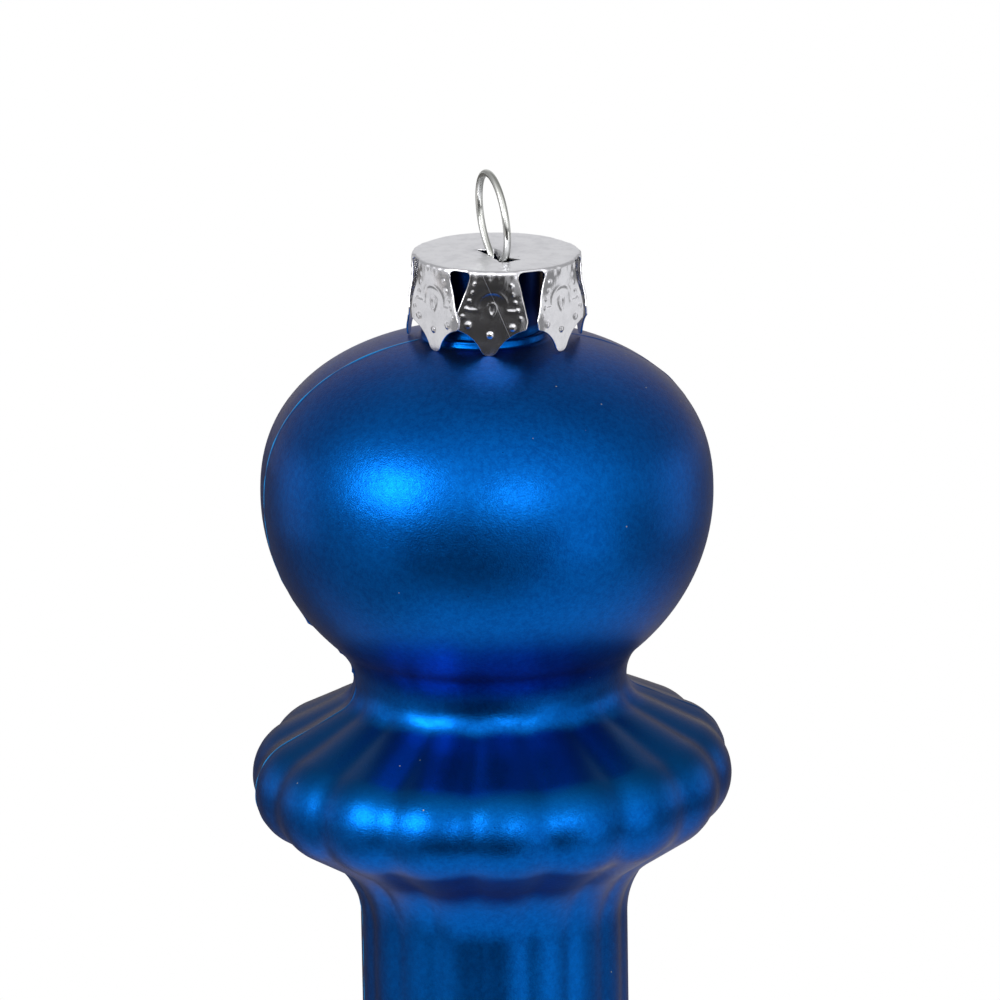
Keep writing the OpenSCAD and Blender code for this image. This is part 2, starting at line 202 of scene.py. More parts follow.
class NodeKit:
    """Short calls for building the node tree of one material or world."""

    def __init__(self, owner: Material | bpy.types.World, shader: str = "Principled BSDF",
                 coords: str = "Object") -> None:
        """Takes up the owner's node tree, its shader and one set of coordinates.

        Args:
            owner: the material or world.
            shader: name of its shader node.
            coords: name of the coordinates that its patterns use.
        """
        owner.use_nodes = True
        self.tree = owner.node_tree
        self.shader = self.tree.nodes[shader]
        self.coords = self.tree.nodes.new("ShaderNodeTexCoord").outputs[coords]

    def feed(self, socket: Socket, value: object) -> None:
        """Links a node's output to a socket, or gives the socket a plain value.

        Args:
            socket: input of a node.
            value: output of another node, or a plain value.
        """
        if isinstance(value, Socket):
            self.tree.links.new(value, socket)
        else:
            socket.default_value = value

    def set(self, **values: object) -> None:
        """Feeds the shader's own sockets, with spaces in a socket's name written as underscores."""
        for key, value in values.items():
            self.feed(self.shader.inputs[key.replace("_", " ")], value)

    def add(self, kind: str, inputs: dict[str | int, object],
            operation: str | None = None) -> bpy.types.Node:
        """Adds a node and feeds its inputs.

        Args:
            kind: type of the node, without the words that all types start with.
            inputs: outputs of other nodes or plain values, by the name or number of the input.
            operation: what a node of sums works out.

        Returns:
            The node.
        """
        node = self.tree.nodes.new("ShaderNode" + kind)
        if operation is not None:
            node.operation = operation
        for key, value in inputs.items():
            self.feed(node.inputs[key], value)
        return node

    def stretched(self, scale: Triple, at: Socket | None = None) -> Socket:
        """Object coordinates, or the given ones, scaled along each axis."""
        return self.add("Mapping", {"Scale": scale, "Vector": at or self.coords}).outputs["Vector"]

    def attribute(self, name: str) -> Socket:
        """Value of a point attribute of the mesh.

        Args:
            name: the attribute's name.

        Returns:
            The attribute's vector.
        """
        node = self.add("Attribute", {})
        node.attribute_name = name
        return node.outputs["Vector"]

    def part(self, vector: Socket, axis: str) -> Socket:
        """One part, X, Y or Z, of a vector."""
        return self.add("SeparateXYZ", {0: vector}).outputs[axis]

    def noise(self, scale: float, detail: float = 2.0, rough: float = 0.5,
              at: Socket | None = None) -> Socket:
        """Noise from 0 to 1.

        Args:
            scale: cells in a metre.
            detail: number of finer layers.
            rough: strength of the finer layers.
            at: coordinates, or the object's own.

        Returns:
            The noise's value.
        """
        inputs = {"Scale": scale, "Detail": detail, "Roughness": rough, "Vector": at or self.coords}
        return self.add("TexNoise", inputs).outputs["Fac"]

    def cells(self, scale: float) -> tuple[Socket, Socket]:
        """Distance to the nearest of a set of scattered points, and that point's own colour."""
        node = self.add("TexVoronoi", {"Scale": scale, "Vector": self.coords})
        return node.outputs["Distance"], node.outputs["Color"]

    def span(self, value: Socket, lo: float, hi: float, out_lo: float = 0.0, out_hi: float = 1.0) -> Socket:
        """Carries the span lo to hi over to out_lo to out_hi, and holds it there."""
        ends = {"From Min": lo, "From Max": hi, "To Min": out_lo, "To Max": out_hi}
        return self.add("MapRange", {**ends, "Value": value}).outputs["Result"]

    def reach(self, value: Socket, start: float, end: float) -> Socket:
        """Goes from 0 to 1 as a length goes from start to end, both in millimetres."""
        return self.span(value, start * MM, end * MM)

    def along(self, axis: str, start: float, end: float) -> Socket:
        """Goes from 0 to 1 between two places along an axis of the object, in millimetres."""
        return self.reach(self.part(self.coords, axis), start, end)

    def maths(self, kind: str, *terms: Socket | float) -> Socket:
        """One sum of one to three values."""
        return self.add("Math", dict(enumerate(terms)), kind).outputs["Value"]

    def vector_maths(self, kind: str, *terms: Socket | list[float]) -> Socket:
        """One measure of one or two vectors."""
        return self.add("VectorMath", dict(enumerate(terms)), kind).outputs["Value"]

    def blend(self, share: Socket, a: Triple | Socket, b: Triple | Socket) -> Socket:
        """Colour a where the share is 0 and colour b where it is 1.

        Args:
            share: value from 0 to 1.
            a: colour, plain or from a node.
            b: colour, plain or from a node.

        Returns:
            The mixed colour.
        """
        node = self.tree.nodes.new("ShaderNodeMix")
        node.data_type = "RGBA"
        colours = [(*colour, 1.0) if isinstance(colour, tuple) else colour for colour in (a, b)]
        # The inputs of a colour mix are number 0 for the share, and 6 and 7 for the colours.
        for number, value in zip((0, 6, 7), (share, *colours)):
            self.feed(node.inputs[number], value)
        return node.outputs[2]

    def bump(self, height: Socket, depth: float, strength: float, under: Socket | None = None) -> Socket:
        """Surface relief from a height, over another relief where one is given.

        Args:
            height: value from 0 to 1.
            depth: real depth in millimetres.
            strength: share of it that shows.
            under: normal of a coarser relief.

        Returns:
            The normal.
        """
        inputs = {"Distance": depth * MM, "Strength": strength, "Height": height}
        if under is not None:
            inputs["Normal"] = under
        return self.add("Bump", inputs).outputs["Normal"]


@dataclass(frozen=True)
class SatinLacquer:
    """Metallised blue lacquer with a satin skin, a fine peel, a pale parting line and a few specks.

    A noise is given by its scale, its finer layers and their strength. The waist's hollow carries
    painted shade, a darker blue blended in by height, the neck under the cap carries painted shade
    too, and the lacquer is unworn on the parting line around the nicks.
    """

    blue: Triple = (0.0010, 0.074, 0.345)
    worn_blue: Triple = (0.0015, 0.126, 0.52)
    hollow_shade_blue: Triple = (0.0008, 0.078, 0.26)
    edge: Triple = (0.75, 0.60, 0.42)
    rubbed: Triple = (0.006, 0.32, 0.82)
    dust: Triple = (0.34, 0.33, 0.27)
    pit: Triple = (0.0008, 0.03, 0.16)
    shaded: Triple = (0.0006, 0.014, 0.08)
    sheen: Triple = (0.62, 0.5, 0.62)
    roughness: float = 0.33
    drift: Pair = (90.0, 3.0)
    drift_span: Pair = (0.35, 0.65)
    drift_share: float = 0.3
    mottle: Triple = (1500.0, 4.0, 0.85)
    mottle_span: Pair = (0.38, 0.62)
    fine_scale: Triple = (4000.0, 4000.0, 5200.0)
    fine_depth: float = 0.05
    peel_scale: float = 1500.0
    peel_depth: float = 0.025
    sheen_share: float = 0.03
    sheen_rough: float = 0.35
    hollow_top: Pair = (-62.8, -64.0)
    hollow_foot: Pair = (-71.5, -68.0)
    hollow_shade_share: float = 0.85
    dots: float = 420.0
    dot_size: Pair = (0.024, 0.044)
    speck_tint: Pair = (0.62, 0.63)
    pit_tint: Pair = (0.37, 0.36)
    worn_from: Pair = (0.1, 0.45)
    worn_matt: float = 0.4
    nicks_z: float = -56.5
    nicks_reach: Pair = (4.5, 13.0)
    neck_z: Pair = (-17.8, -17.0)

    def material(self) -> Material:
        """Builds the lacquer.

        Returns:
            The material.
        """
        material = bpy.data.materials.new("satin_blue_lacquer")
        kit = NodeKit(material)
        drift = kit.span(kit.noise(*self.drift), *self.drift_span)
        mottle = kit.span(kit.noise(*self.mottle), *self.mottle_span)
        fine = kit.noise(1.0, 2.0, 0.7, kit.stretched(self.fine_scale))
        shade = kit.maths("MULTIPLY_ADD", drift, self.drift_share,
                          kit.maths("MULTIPLY", mottle, 1.0 - self.drift_share))
        colour = kit.blend(shade, self.blue, self.worn_blue)
        # Painted shade: the waist's hollow is blended toward a darker blue by height.
        hollow = kit.maths("MULTIPLY", kit.along("Z", *self.hollow_top), kit.along("Z", *self.hollow_foot))
        colour = kit.blend(kit.maths("MULTIPLY", hollow, self.hollow_shade_share), colour, self.hollow_shade_blue)
        near, tint = kit.cells(self.dots)
        dot = kit.span(near, *self.dot_size, 1.0, 0.0)
        speck = kit.maths("MULTIPLY", dot, kit.span(tint, *self.speck_tint))
        pit = kit.maths("MULTIPLY", dot, kit.span(tint, *self.pit_tint))
        seam = kit.part(kit.attribute("seam"), "X")
        height = kit.part(kit.coords, "Z")
        off_nicks = kit.maths("ABSOLUTE", kit.maths("SUBTRACT", height, self.nicks_z * MM))
        worn = kit.maths("MULTIPLY", kit.span(seam, *self.worn_from),
                         kit.reach(off_nicks, *self.nicks_reach))
        colour = kit.blend(worn, colour, self.rubbed)
        colour = kit.blend(kit.along("Z", *self.neck_z), colour, self.shaded)
        colour = kit.blend(pit, colour, self.pit)
        matt = kit.maths("MAXIMUM", speck, kit.maths("MULTIPLY", worn, self.worn_matt))
        rough = kit.maths("ADD", kit.span(fine, 0.3, 0.7, -0.03, 0.03),
                          kit.span(drift, 0.0, 1.0, self.roughness - 0.02, self.roughness + 0.02))
        peel = kit.bump(kit.noise(self.peel_scale), self.peel_depth, 0.4)
        relief = kit.bump(fine, self.fine_depth, 0.6, peel)
        kit.set(Base_Color=kit.blend(speck, colour, self.dust), Metallic=kit.maths("SUBTRACT", 1.0, matt),
                Roughness=rough, Normal=relief, Specular_Tint=(*self.edge, 1.0),
                Sheen_Weight=self.sheen_share, Sheen_Roughness=self.sheen_rough,
                Sheen_Tint=(*self.sheen, 1.0))
        return material


@dataclass(frozen=True)
class StampedSheet:
    """Bright thin sheet: satin on top, near mirror on the petals, with drawing lines and a scratch.

    The scratch is the front petal's hairline, where X + scratch_slope * Z = scratch_x.
    """

    silver: Triple = (0.86, 0.86, 0.90)
    dull: Triple = (0.76, 0.76, 0.80)
    fleck: Triple = (0.30, 0.30, 0.33)
    top_rough: float = 0.34
    petal_rough: float = 0.17
    top_z: Pair = (-10.0, -9.4)
    patches: Triple = (700.0, 4.0, 0.65)
    flecks: float = 700.0
    line_scale: Triple = (5200.0, 5200.0, 420.0)
    line_depth: float = 0.012
    grain: Triple = (3000.0, 3.0, 0.6)
    grain_depth: float = 0.018
    scratch_slope: float = 0.406
    scratch_x: float = -3.95
    scratch_edge: Pair = (0.04, 0.01)
    scratch_y: Pair = (-6.0, -7.0)
    scratch_rough: float = 0.22

    def material(self) -> Material:
        """Builds the sheet's material.

        Returns:
            The material.
        """
        material = bpy.data.materials.new("bright_stamped_sheet")
        kit = NodeKit(material)
        patch = kit.span(kit.noise(*self.patches), 0.45, 0.75)
        spot, tint = kit.cells(self.flecks)
        fleck = kit.maths("MULTIPLY", kit.span(spot, 0.05, 0.09, 1.0, 0.0), kit.span(tint, 0.90, 0.92))
        on_top = kit.along("Z", *self.top_z)
        rough = kit.maths("ADD", kit.span(on_top, 0.0, 1.0, self.petal_rough, self.top_rough),
                          kit.span(patch, 0.0, 1.0, -0.03, 0.05))
        across = kit.maths("MULTIPLY_ADD", kit.part(kit.coords, "Z"), self.scratch_slope,
                           kit.part(kit.coords, "X"))
        off = kit.maths("ABSOLUTE", kit.maths("SUBTRACT", across, self.scratch_x * MM))
        scored = kit.maths("MULTIPLY", kit.reach(off, *self.scratch_edge), kit.along("Y", *self.scratch_y))
        lines = kit.noise(1.0, 3.0, 0.6, kit.stretched(self.line_scale))
        drawn = kit.bump(lines, self.line_depth, 0.6)
        colour = kit.blend(fleck, kit.blend(patch, self.silver, self.dull), self.fleck)
        kit.set(Base_Color=colour, Metallic=1.0,
                Roughness=kit.maths("MULTIPLY_ADD", scored, self.scratch_rough, rough),
                Normal=kit.bump(kit.noise(*self.grain), self.grain_depth, 0.6, drawn))
        return material


@dataclass(frozen=True)
class DrawnWire:
    """Galvanised drawn wire: a smooth bright skin with dull and dark streaks along it."""

    zinc: Triple = (0.80, 0.81, 0.79)
    dull: Triple = (0.52, 0.53, 0.50)
    streak: Triple = (0.10, 0.095, 0.09)
    roughness: float = 0.15
    broad_scale: Triple = (2000.0, 2000.0, 160.0)
    dark_scale: Triple = (2600.0, 2600.0, 220.0)
    fine_scale: Triple = (6000.0, 6000.0, 500.0)
    fine_depth: float = 0.003

    def material(self) -> Material:
        """Builds the wire's material.

        Returns:
            The material.
        """
        material = bpy.data.materials.new("galvanised_wire")
        kit = NodeKit(material)
        run = kit.attribute("run")
        broad, dark, fine = (kit.noise(1.0, at=kit.stretched(scale, run))
                             for scale in (self.broad_scale, self.dark_scale, self.fine_scale))
        skin = kit.blend(kit.span(broad, 0.42, 0.62), self.zinc, self.dull)
        kit.set(Base_Color=kit.blend(kit.span(dark, 0.66, 0.70), skin, self.streak), Metallic=1.0,
                Roughness=kit.span(broad, 0.35, 0.65, self.roughness - 0.03, self.roughness + 0.1),
                Normal=kit.bump(fine, self.fine_depth, 0.3))
        return material


@dataclass
class Shell:
    """The blown body: onion bulb, waist, fluted ring, column and spire, with its neck and wall.

    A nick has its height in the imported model's frame, how far it stands out, and its width. The
    ring's lean grows over lean_from, which is a height above the waist and a length below that,
    and fades over lean_to, a drop below the ring's widest place and a length.
    """

    equator: float = -38.0
    bulb_r: float = 26.9
    dome_h: float = 19.4
    fullness: float = 2.3
    bowl_h: float = 25.0
    bowl_end: float = 46.9
    wall: float = 1.0
    neck_r: float = 7.0
    neck_rim: float = 28.35
    collar_r: float = 7.5
    collar_h: float = 0.9
    rim_round: float = 0.3
    bore_round: float = 0.15
    waist_up: float = 6.0
    waist_down: float = 3.2
    top_slope: float = 25.8
    ring_r: float = 28.8
    ring_edge: float = 6.7
    low_slope: float = 32.6
    column_r: float = 16.1
    sweep_r: float = 9.8
    column_h: float = 13.0
    spire_h: float = 78.0
    tip_r: float = 3.2
    spire_power: float = 1.15
    spire_share: float = 0.93
    tip_end: float = -86.0
    flutes: int = 18
    flute_turn: float = -6.0
    ring_flute: float = 0.85
    column_flute: float = 0.4
    valley: float = 0.28
    flute_start: float = 1.0
    flute_rise: float = 8.5
    flute_fade: Pair = (4.0, 10.0)
    tip_fade: float = 4.0
    least_step: float = 0.04
    seam_at: float = -78.0
    seam_h: float = 0.10
    seam_w: float = 0.17
    far_seam: float = 0.2
    ring_lean: Pair = (0.0136, 0.012)
    lean_from: Pair = (1.0, 6.0)
    lean_to: Pair = (4.0, 8.0)
    inner_fine: float = 0.12
    nicks: tuple[Triple, ...] = (
        (-52.6, 0.20, 0.35), (-56.6, 0.16, 0.3), (-59.1, 0.22, 0.35))

    def __post_init__(self) -> None:
        """Works out from the driving sizes where each run of the profile meets the next."""
        self.dome_start = math.degrees(math.acos((self.collar_r / self.bulb_r) ** (self.fullness / 2)))
        self.collar_foot = self.dome_h * math.sin(math.radians(self.dome_start)) ** (2 / self.fullness)
        be, ts, ls = (math.radians(v) for v in (self.bowl_end, self.top_slope, self.low_slope))
        d = np.array([math.cos(be) / self.bulb_r, -math.sin(be) / self.bowl_h])
        d /= np.linalg.norm(d)
        self.up_c = np.array([self.bulb_r * math.cos(be), -self.bowl_h * math.sin(be)]) + self.waist_up * d
        self.waist_r = self.up_c[0] - self.waist_up
        self.waist_z = self.up_c[1]
        self.down_c = np.array([self.waist_r + self.waist_down, self.waist_z])
        face = self.down_c - self.waist_down * np.array([math.sin(ts), math.cos(ts)])
        ring_c_r = self.ring_r - self.ring_edge
        rise = (ring_c_r + self.ring_edge * math.sin(ts) - face[0]) * math.tan(ts)
        self.ring_z = face[1] - rise - self.ring_edge * math.cos(ts)
        self.ring_c = (ring_c_r, self.ring_z)
        low = np.array(self.ring_c) + self.ring_edge * np.array([math.sin(ls), -math.cos(ls)])
        foot = self.column_r + self.sweep_r * (1 - math.sin(ls))
        foot_z = low[1] - (low[0] - foot) * math.tan(ls)
        self.column_c = (self.column_r + self.sweep_r, foot_z - self.sweep_r * math.cos(ls))
        self.column_top = self.column_c[1]
        self.column_end = self.column_top - self.column_h
        last = self.spire(np.array([self.spire_share]))[0]
        self.tip_arc = last[0] / last[2]
        self.tip_c = (0.0, last[1] - self.tip_arc * last[3])
        self.tip_from = math.degrees(math.atan2(last[3], last[2]))
        self.tip_z = self.tip_c[1] - self.tip_arc

    def oval(self, a: Array, height: float, full: float) -> Array:
        """Rows on an oval: radius = R cos(a)^(2/n), height = H sin(a)^(2/n), facing outward.

        Args:
            a: angles in degrees, 0 at the widest place.
            height: height of the oval, H.
            full: fullness of the oval, n, which is 2 for an ellipse.

        Returns:
            Rows of radius, height, outward radius part and outward height part.
        """
        c, s = np.cos(np.radians(a)), np.sin(np.radians(a))
        k = 2.0 / full
        d = np.stack([c ** (2 - k) / self.bulb_r, np.abs(s) ** (2 - k) * np.sign(s) / height], 1)
        d /= np.linalg.norm(d, axis=1)[:, None]
        return np.hstack([np.stack([self.bulb_r * c ** k, height * np.abs(s) ** k * np.sign(s)], 1), d])

    def dome_z(self, r: Array) -> Array:
        """Height of the dome at a distance from the axis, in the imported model's frame."""
        c = (r / self.bulb_r) ** (self.fullness / 2)
        return self.equator + self.dome_h * (1 - c * c) ** (1 / self.fullness)

    def spire(self, s: Array) -> Array:
        """Rows of the spire: radius = tip + (column - tip) cos(90 s)^power, at share s of its height.

        Args:
            s: shares of the spire's height, from 0 to 1.

        Returns:
            Rows of radius, height, outward radius part and outward height part.
        """
        c = np.cos(np.radians(90 * s))
        r = self.tip_r + (self.column_r - self.tip_r) * c ** self.spire_power
        fall = (self.column_r - self.tip_r) * self.spire_power * np.sin(np.radians(90 * s))
        slope = np.where(s == 0, 0, fall * math.pi / 2
                         * np.maximum(c, 0.02) ** (self.spire_power - 1) / self.spire_h)
        d = 1 / np.hypot(1, slope)
        return np.stack([r, self.column_end - self.spire_h * s, d, -slope * d], 1)

    def skin_rows(self, fine: float) -> Array:
        """Profile from the foot of the collar to the tip, as rows of radius, height and outward direction.

        Args:
            fine: share of the full number of rows.

        Returns:
            The rows, from top to bottom.
        """
        def n(full: int) -> int:
            """Number of rows at this fineness."""
            return max(2, round(full * fine))

        falling = 1 - np.arange(1, n(44) + 1) / n(44)
        dome = self.oval(self.dome_start * falling, self.dome_h, self.fullness)
        bowl = self.oval(-self.bowl_end * np.arange(1, n(30) + 1) / n(30), self.bowl_h, 2.0)
        up = arc(self.up_c, -self.waist_up, -self.bowl_end * 1.02, 0, n(12))
        down = arc(self.down_c, -self.waist_down, 0, 90 - self.top_slope, n(12))
        edge = arc(self.ring_c, self.ring_edge, 90 - self.top_slope, self.low_slope - 90, n(40))
        top = line(down[-1, :2], edge[0, :2], n(12))
        sweep = arc(self.column_c, -self.sweep_r, self.low_slope - 90, 0, n(22))
        low = line(edge[-1, :2], sweep[0, :2], n(4))
        spire = self.spire(self.spire_share * np.arange(0, n(44) + 1) / n(44))
        column = line((self.column_r, self.column_top), (self.column_r, self.column_end), n(8))
        tip = arc(self.tip_c, self.tip_arc, self.tip_from, self.tip_end, n(9))
        return np.vstack([dome, bowl, up, down, top[:-1], edge, low[:-1], sweep, column[:-1], spire, tip])

    def depth(self, rows: Array) -> Array:
        """Depth of the flutes' valleys at each row, none on the bulb and shallow on the column.

        Args:
            rows: profile rows.

        Returns:
            One depth for each row.
        """
        z, r = rows[:, 1], rows[:, 0]
        start, length = self.flute_fade
        ring = self.ring_flute * smooth((self.waist_z + self.flute_start - z) / self.flute_rise)
        fade = smooth((self.ring_z - start - z) / length)
        low = self.ring_flute + (self.column_flute - self.ring_flute) * fade
        tip = smooth((r - self.tip_r) / self.tip_fade)
        col = self.column_flute * np.minimum(1, r / self.column_r) * tip
        return np.where(z > self.ring_z, ring, np.where(z > self.column_top, low, col))

    def columns(self) -> Array:
        """Angles of the mesh columns in degrees, closer at the valleys and at the two parting lines.

        Returns:
            The angles, growing from 0 to 360.
        """
        half = np.array([0, 0.02, 0.05, 0.10, 0.17, 0.25, 0.34, 0.43])
        share = np.unique(np.concatenate([half, 1 - half[1:], [0.5]]))
        flutes = self.flute_turn + 360 / self.flutes * (np.arange(self.flutes)[:, None] + share[None])
        steps = np.array([-0.6, -0.36, -0.24, -0.12, 0, 0.12, 0.24, 0.36, 0.6])
        seams = self.seam_at + np.array([[0], [180]]) + steps
        a = np.sort(np.concatenate([flutes.ravel(), seams.ravel()]) % 360)
        gap = np.diff(np.append(a, a[0] + 360))
        return a[gap > self.least_step]

    def bead(self, rows: Array, angles: Array) -> Array:
        """Height of the parting line's bead: a bell of the distance to it, wandering, with nicks.

        Args:
            rows: profile rows.
            angles: column angles in degrees.

        Returns:
            Heights, rows by columns.
        """
        z = rows[:, 1] + self.equator
        off = np.abs((angles - self.seam_at + 90) % 180 - 90)
        width = np.degrees(self.seam_w / np.maximum(rows[:, 0], 6.0))
        tall = self.seam_h * (0.6 + 0.4 * np.sin(z * 1.9) * np.sin(z * 0.71 + 1.0))
        for at, high, wide in self.nicks:
            tall = tall + high * bell(z - at, wide)
        return tall[:, None] * bell(off[None] / width[:, None], 1.0)

    def surface(self, rows: Array, angles: Array, inset: float, seam: bool) -> Array:
        """Points of the fluted skin.

        A point is its row's point moved along the row's direction by
        -(inset + depth (v v - soft(v))) + bead, where v goes from 1 at a valley to 0 at a crest
        and back, soft rounds the valley, and bead is the parting line's bell of angle. The ring
        leans a little: its height grows to the right and to the back.

        Args:
            rows: profile rows.
            angles: column angles in degrees.
            inset: how far the skin lies inside the outer one.
            seam: whether the parting line's bead and its nicks are on it.

        Returns:
            Points, rows by columns by three.
        """
        v = np.abs(((angles - self.flute_turn) * self.flutes / 360) % 1 * 2 - 1)
        dip = v ** 2 - np.maximum(0, v - 1 + self.valley) ** 2 / self.valley
        move = -(inset + self.depth(rows)[:, None] * dip[None])
        if seam:
            move = move + self.bead(rows, angles)
        r = rows[:, 0:1] + move * rows[:, 2:3]
        z = rows[:, 1:2] + move * rows[:, 3:4]
        a = np.radians(angles)[None]
        at = rows[:, 1:2]
        (above, rise), (below, fall) = self.lean_from, self.lean_to
        on_ring = smooth((self.waist_z + above - at) / rise)
        on_ring = on_ring * (1 - smooth((self.ring_z - below - at) / fall))
        x, y = r * np.sin(a), -r * np.cos(a)
        lean = on_ring * (self.ring_lean[0] * x + self.ring_lean[1] * y)
        return np.stack([x, y, z + self.equator + lean], axis=-1)

    def build(self, material: Material) -> bpy.types.Object:
        """Builds the shell as one closed skin: tip, outer skin, collar, neck, rim, bore and inner skin.

        Args:
            material: the lacquer.

        Returns:
            The finished piece.
        """
        angles = self.columns()
        rr, foot, top = self.rim_round, self.collar_foot, self.neck_rim
        bore = self.neck_r - self.wall
        inner = self.skin_rows(self.inner_fine)[::-1]
        up = [(bore, foot - 0.8 * self.wall), (bore, top - self.bore_round), (bore + self.bore_round, top)]
        out = arc((self.neck_r - rr, top - rr), rr, 90, 0, 5)[:, :2].tolist()
        lip = arc((self.collar_r - rr, foot + self.collar_h - rr), rr, 90, 0, 5)[:, :2].tolist()
        neck = [(self.neck_r - rr, top), *out, (self.neck_r, foot + self.collar_h + 1.5),
                (self.neck_r, foot + self.collar_h + 0.1), (self.neck_r + 0.1, foot + self.collar_h),
                *lip, (self.collar_r, foot + 0.12), (self.collar_r + 0.06, foot + 0.03)]
        plain = np.array([(*place, 0.0, 0.0) for place in (*up, *neck)])
        outer = self.skin_rows(1.0)
        skin = np.concatenate([
            self.surface(inner, angles, self.wall, False),
            self.surface(plain, angles, 0.0, False),
            self.surface(outer, angles, 0.0, True)])
        rows, cols = skin.shape[:2]
        points = np.vstack([skin.reshape(-1, 3), [[0, 0, self.tip_z + self.wall + self.equator],
                                                  [0, 0, self.tip_z + self.equator]]])
        faces = tube_faces(rows, cols, Way.AGAINST)
        rubbed = np.zeros((len(points), 3))
        first = (len(inner) + len(plain)) * cols
        near = np.where(np.abs((angles - self.seam_at + 180) % 360 - 180) < 90, 1.0, self.far_seam)
        rubbed[first:rows * cols, 0] = (near * self.bead(outer, angles) / self.seam_h).ravel()
        return make_piece("blown_shell", points, faces, material, "shell", ("seam", rubbed))


@dataclass
class Cap:
    """Stamped cap: a round top with a slot, rolled gaps, and seven embossed petals on the dome.

    The slot's edge has a reach in each direction of slot_turns. A dent has two places on the top,
    a reach and a depth. A stud has its place across the petal, its drop, a radius and a height;
    the beads share their radius and height. The shifts, skews, twists, bows and kicks hold one
    number for each petal, from the front one on.
    """

    centre: Triple = (1.6, 0.0, -9.04)
    turn: float = -2.0
    lean_right: float = 1.0
    lean_front: float = 0.8
    round_r: float = 10.0
    petals: int = 7
    sheet: float = 0.2
    bend: float = 0.42
    root: float = 2.45
    root_lift: float = 0.3
    shoulder: float = 4.35
    shoulder_drop: float = 6.1
    shoulder_h: float = 1.0
    shoulder_in: float = 0.15
    nose: float = 1.1
    nose_side: float = 20.0
    flank: float = 1.18
    flat: float = 9.55
    near_length: float = 10.0
    lengths: Pair = (9.9, 10.4)
    clearance: float = 0.02
    gap_in: float = 0.30
    gap_bend: float = 0.2
    gap_ease: float = 0.7
    skirt: float = 1.25
    slot_at: Pair = (1.6, -0.3)
    slot_turns: tuple[float, ...] = (
        0, 29, 60, 83, 97, 110, 125, 134, 146, 149, 155, 200, 240, 272, 281, 292, 302, 310, 313,
        318, 323, 330)
    slot_reach: tuple[float, ...] = (
        0.8, 0.9, 1.2, 1.76, 2.4, 2.3, 2.2, 2.55, 3.2, 2.3, 1.05, 0.6, 0.85, 2.0, 3.6, 4.0, 4.05, 4.5, 3.3,
        2.4, 1.7, 1.05)
    dents: tuple[Quad, ...] = (
        (1.9, -1.1, 4.6, 0.42), (2.5, -3.3, 1.7, 0.30), (0.5, 0.2, 1.6, 0.14), (0.1, -2.6, 0.5, 0.07),
        (0.5, -4.2, 0.5, 0.06), (0.4, -1.6, 0.35, -0.06))
    bead: Pair = (0.22, 0.075)
    beads: tuple[Pair, ...] = ((2.15, 1.6), (2.35, 2.68), (2.68, 3.7), (3.02, 4.66), (3.45, 5.6))
    studs: tuple[Quad, ...] = (
        (-2.7, 6.62, 0.36, 0.10), (2.5, 6.72, 0.36, 0.10), (-0.1, 7.7, 0.34, 0.11))
    arch_r: float = 1.7
    arch_d: float = 4.2
    arch_end: float = 4.75
    wing_x: float = 2.3
    wing_half: float = 0.5
    wing_d: float = 4.78
    drop_half: float = 0.42
    drop_h: float = 0.72
    drop_d: float = 4.65
    drop_taper: float = 0.38
    flap_h: float = 1.05
    flap_lean: float = 0.75
    shifts: tuple[float, ...] = (0.0, 1.5, 1.0, 0.0, 0.0, 4.0, 3.0)
    skews: tuple[float, ...] = (-0.065, -0.03, -0.03, 0.03, -0.02, 0.04, 0.09)
    twists: tuple[float, ...] = (2.0, -1.0, 3.0, -2.0, 1.0, -3.0, 1.5)
    bows: tuple[float, ...] = (0.10, 0.5, 0.6, 0.05, 0.1, 0.3, 0.5)
    kicks: tuple[float, ...] = (0.0, 0.0, 0.0, 0.1, 0.0, 0.7, 0.0)
    ripple: float = 0.08
    droop: float = 0.16
    cols: int = 58
    rows: int = 78
    plate_rows: int = 14
    bend_rows: int = 6
    skirt_rows: int = 4
    gap_steps: tuple[float, ...] = (0.05, 0.12, 0.22, 0.36, 0.55, 0.9)

    def half_width(self, drop: Array) -> Array:
        """Half width of a petal above its shoulders: it widens evenly with the drop."""
        share = (drop + self.root_lift) / (self.shoulder_drop + self.root_lift)
        return self.root + (self.shoulder - self.root) * share

    def outline(self, length: float) -> Array:
        """Half widths and drops of a petal's edge from its skirt to its nose, evenly spaced along the edge.

        The edge is straight to the shoulder, draws in a little, follows a hollow arc through the
        shoulder's foot and the side of the nose, and ends in the nose's round.

        Args:
            length: drop of the nose below the cap's top.

        Returns:
            Rows of half width and drop, one more than the petal has rows.
        """
        foot = np.array([self.shoulder - self.shoulder_in, self.shoulder_drop + self.shoulder_h])
        nose_c = length - self.nose
        a = math.radians(self.nose_side)
        side = np.array([self.nose * math.cos(a), nose_c + self.nose * math.sin(a)])
        chord = foot - side
        rad = self.flank * np.linalg.norm(chord)
        out = np.array([-chord[1], chord[0]]) / np.linalg.norm(chord)
        c = (foot + side) / 2 + math.sqrt(rad ** 2 - (chord @ chord) / 4) * out
        t0, t1 = (math.atan2(q[1] - c[1], q[0] - c[0]) % (2 * math.pi) for q in (foot, side))
        turns = np.linspace(t0, t1, 80)[1:]
        flank = np.stack([c[0] + rad * np.cos(turns), c[1] + rad * np.sin(turns)], 1)
        turns = np.linspace(a, math.pi / 2 - 0.03, 30)[1:]
        nose = np.stack([self.nose * np.cos(turns), nose_c + self.nose * np.sin(turns)], 1)
        drops = np.linspace(self.skirt, self.shoulder_drop, 80)
        straight = np.stack([self.half_width(drops), drops], 1)
        edge = np.vstack([straight, foot[None], flank, nose])
        run = np.append(0, np.cumsum(np.hypot(*np.diff(edge, axis=0).T)))
        even = np.linspace(0, run[-1], self.rows + 1)
        return np.stack([np.interp(even, run, edge[:, 0]), np.interp(even, run, edge[:, 1])], 1)

